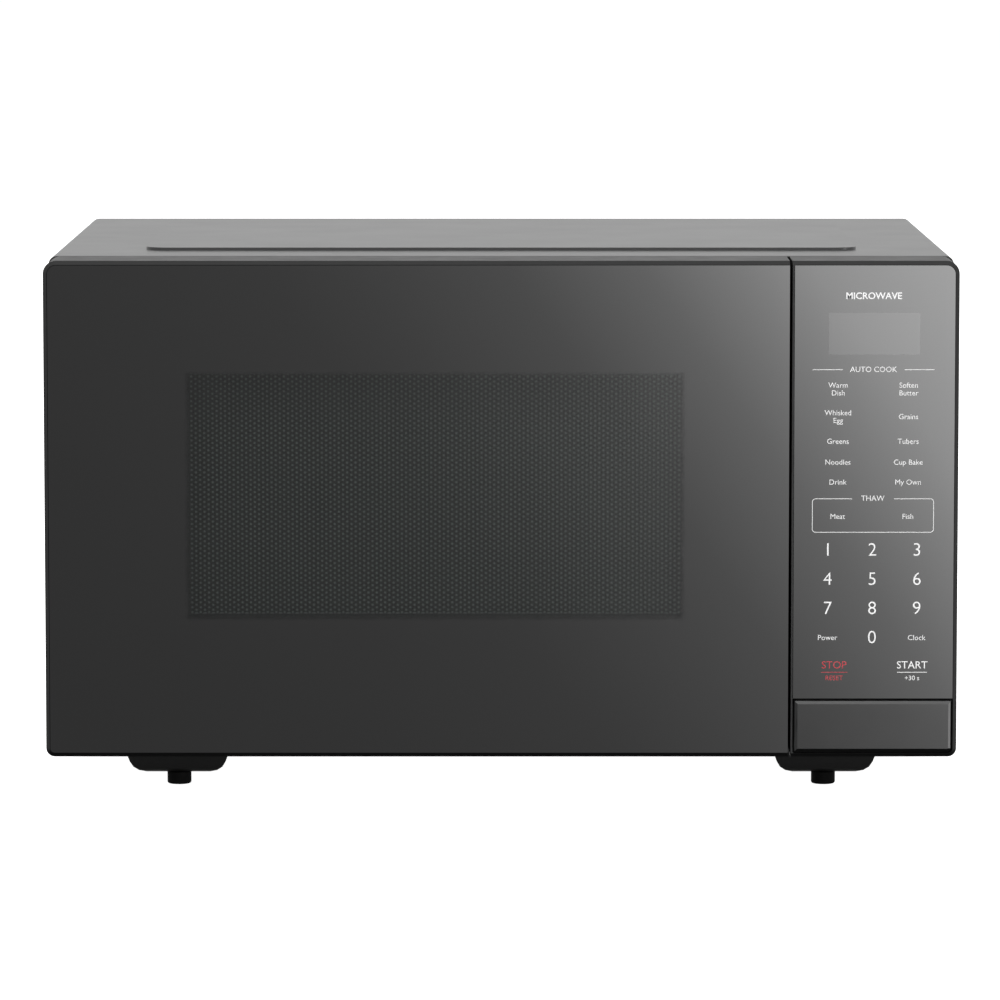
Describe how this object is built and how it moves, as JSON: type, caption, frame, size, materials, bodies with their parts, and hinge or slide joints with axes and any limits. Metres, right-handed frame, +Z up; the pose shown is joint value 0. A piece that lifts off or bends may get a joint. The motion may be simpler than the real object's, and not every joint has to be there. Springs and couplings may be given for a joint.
{
  "type": "microwave oven",
  "caption": "Countertop microwave oven with a flat black glass front, side-hinged door, push-button release, glass control panel and turntable.",
  "frame": {"origin": "on the table surface, under the middle of the oven's bounding box", "axes": "+X to the right of a person facing the oven, +Y to the back, +Z up"},
  "size_m": [0.52, 0.43, 0.3112],
  "materials": {
    "black_enamel": "black satin enamel with a fine texture",
    "front_glass": "black back-painted glass, polished",
    "door_plastic": "black moulded plastic",
    "housing_plastic": "dark grey moulded plastic",
    "white_plastic": "natural white moulded plastic",
    "cavity_enamel": "light grey baked enamel",
    "inner_steel": "plain zinc-coated sheet",
    "aluminium": "bare aluminium",
    "foot_rubber": "black rubber",
    "clear_glass": "clear tempered glass",
    "clear_film": "clear plastic film",
    "mica": "pressed mica sheet",
    "ferrite": "dark sintered ferrite",
    "circuit_board": "green laminate with parts",
    "copper": "copper winding on a ferrite core"
  },
  "bodies": {
    "oven": {"outer_cabinet": "black_enamel", "base_plate": "black_enamel", "rear_panel": "black_enamel", "cord_inlet": "housing_plastic", "front_plate": "cavity_enamel", "cavity_wrap": "cavity_enamel", "cavity_floor": "cavity_enamel", "cavity_back": "cavity_enamel", "foot_front_left": "foot_rubber", "foot_front_right": "foot_rubber", "foot_rear_left": "foot_rubber", "foot_rear_right": "foot_rubber", "rear_spacer_left": "housing_plastic", "rear_spacer_right": "housing_plastic", "waveguide": "inner_steel", "waveguide_cover": "mica", "magnetron_yoke": "inner_steel", "magnetron_anode": "aluminium", "magnetron_magnet_inner": "ferrite", "magnetron_magnet_outer": "ferrite", "magnetron_filter_box": "inner_steel", "inverter_board": "circuit_board", "inverter_transformer": "copper", "inverter_heatsink": "aluminium", "filter_board": "circuit_board", "line_fuse": "clear_glass", "fan_shroud": "housing_plastic", "fan_motor": "inner_steel", "air_guide": "housing_plastic", "lamp_holder": "white_plastic", "oven_lamp": "clear_glass", "thermal_cutout": "inner_steel", "turntable_motor": "inner_steel", "hinge_bracket_lower": "inner_steel", "hinge_bracket_upper": "inner_steel", "interlock_bracket": "housing_plastic", "primary_switch": "housing_plastic", "secondary_switch": "housing_plastic", "monitor_switch": "housing_plastic", "button_spring": "inner_steel", "control_housing": "door_plastic", "control_glass": "front_glass", "control_board": "circuit_board", "display_module": "housing_plastic"},
    "door": {"door_frame": "door_plastic", "door_glass": "front_glass", "door_screen": "black_enamel", "door_screen_film": "clear_film", "door_choke_cover": "housing_plastic", "latch_spring": "inner_steel"},
    "latch": {"latch_bar": "white_plastic"},
    "button": {"door_button": "door_plastic"},
    "lever": {"release_lever": "white_plastic"},
    "coupler": {"turntable_coupler": "white_plastic"},
    "tray": {"glass_tray": "clear_glass"},
    "ring": {"roller_ring": "housing_plastic"},
    "roller_1": {"roller_1": "white_plastic"},
    "roller_2": {"roller_2": "white_plastic"},
    "roller_3": {"roller_3": "white_plastic"},
    "fan": {"fan_impeller": "white_plastic"}
  },
  "joints": [
    {"name": "door_hinge", "type": "hinge", "parent": "oven", "child": "door", "pos_m": [-0.252, -0.1815, 0.16765], "axis": [0, 0, -1], "range_deg": [0, 105]},
    {"name": "button_slide", "type": "slide", "parent": "oven", "child": "button", "axis": [0, 1, 0], "range_m": [0, 0.005], "stiffness_N_per_m": 300, "springref_m": -0.003, "deforming": ["button_spring"]},
    {"name": "release_lever", "type": "hinge", "parent": "oven", "child": "lever", "pos_m": [0.19, -0.133, 0.08345], "axis": [1, 0, 0], "range_deg": [0, 7.2]},
    {"name": "latch_slide", "type": "slide", "parent": "door", "child": "latch", "axis": [0, 0, -1], "range_m": [0, 0.004], "deforming": ["latch_spring"]},
    {"name": "turntable_spin", "type": "hinge", "parent": "oven", "child": "coupler", "pos_m": [-0.038, 0.0086, 0.0545], "axis": [0, 0, 1], "continuous": true},
    {"name": "tray_lift", "type": "slide", "parent": "coupler", "child": "tray", "axis": [0, 0, 1], "range_m": [0, 0.04]},
    {"name": "roller_ring_spin", "type": "hinge", "parent": "oven", "child": "ring", "pos_m": [-0.038, 0.0086, 0.0545], "axis": [0, 0, 1], "continuous": true},
    {"name": "fan_spin", "type": "hinge", "parent": "oven", "child": "fan", "pos_m": [0.19845, 0.177, 0.1321], "axis": [0, 1, 0], "continuous": true},
    {"name": "roller_1_spin", "type": "hinge", "parent": "ring", "child": "roller_1", "pos_m": [0.0693, 0.0086, 0.0618], "axis": [1, 0, 0], "continuous": true},
    {"name": "roller_2_spin", "type": "hinge", "parent": "ring", "child": "roller_2", "pos_m": [-0.09165, 0.10153, 0.0618], "axis": [-0.5, 0.866, 0], "continuous": true},
    {"name": "roller_3_spin", "type": "hinge", "parent": "ring", "child": "roller_3", "pos_m": [-0.09165, -0.08432, 0.0618], "axis": [-0.5, -0.866, 0], "continuous": true}
  ],
  "couplings": [
    {"joint": "release_lever", "follows": "button_slide", "rad_per_m": 25},
    {"joint": "latch_slide", "follows": "button_slide", "ratio": 0.8},
    {"joint": "roller_ring_spin", "follows": "turntable_spin", "ratio": 0.5},
    {"joint": "roller_1_spin", "follows": "turntable_spin", "ratio": -7.6643},
    {"joint": "roller_2_spin", "follows": "turntable_spin", "ratio": -7.6643},
    {"joint": "roller_3_spin", "follows": "turntable_spin", "ratio": -7.6643}
  ]
}
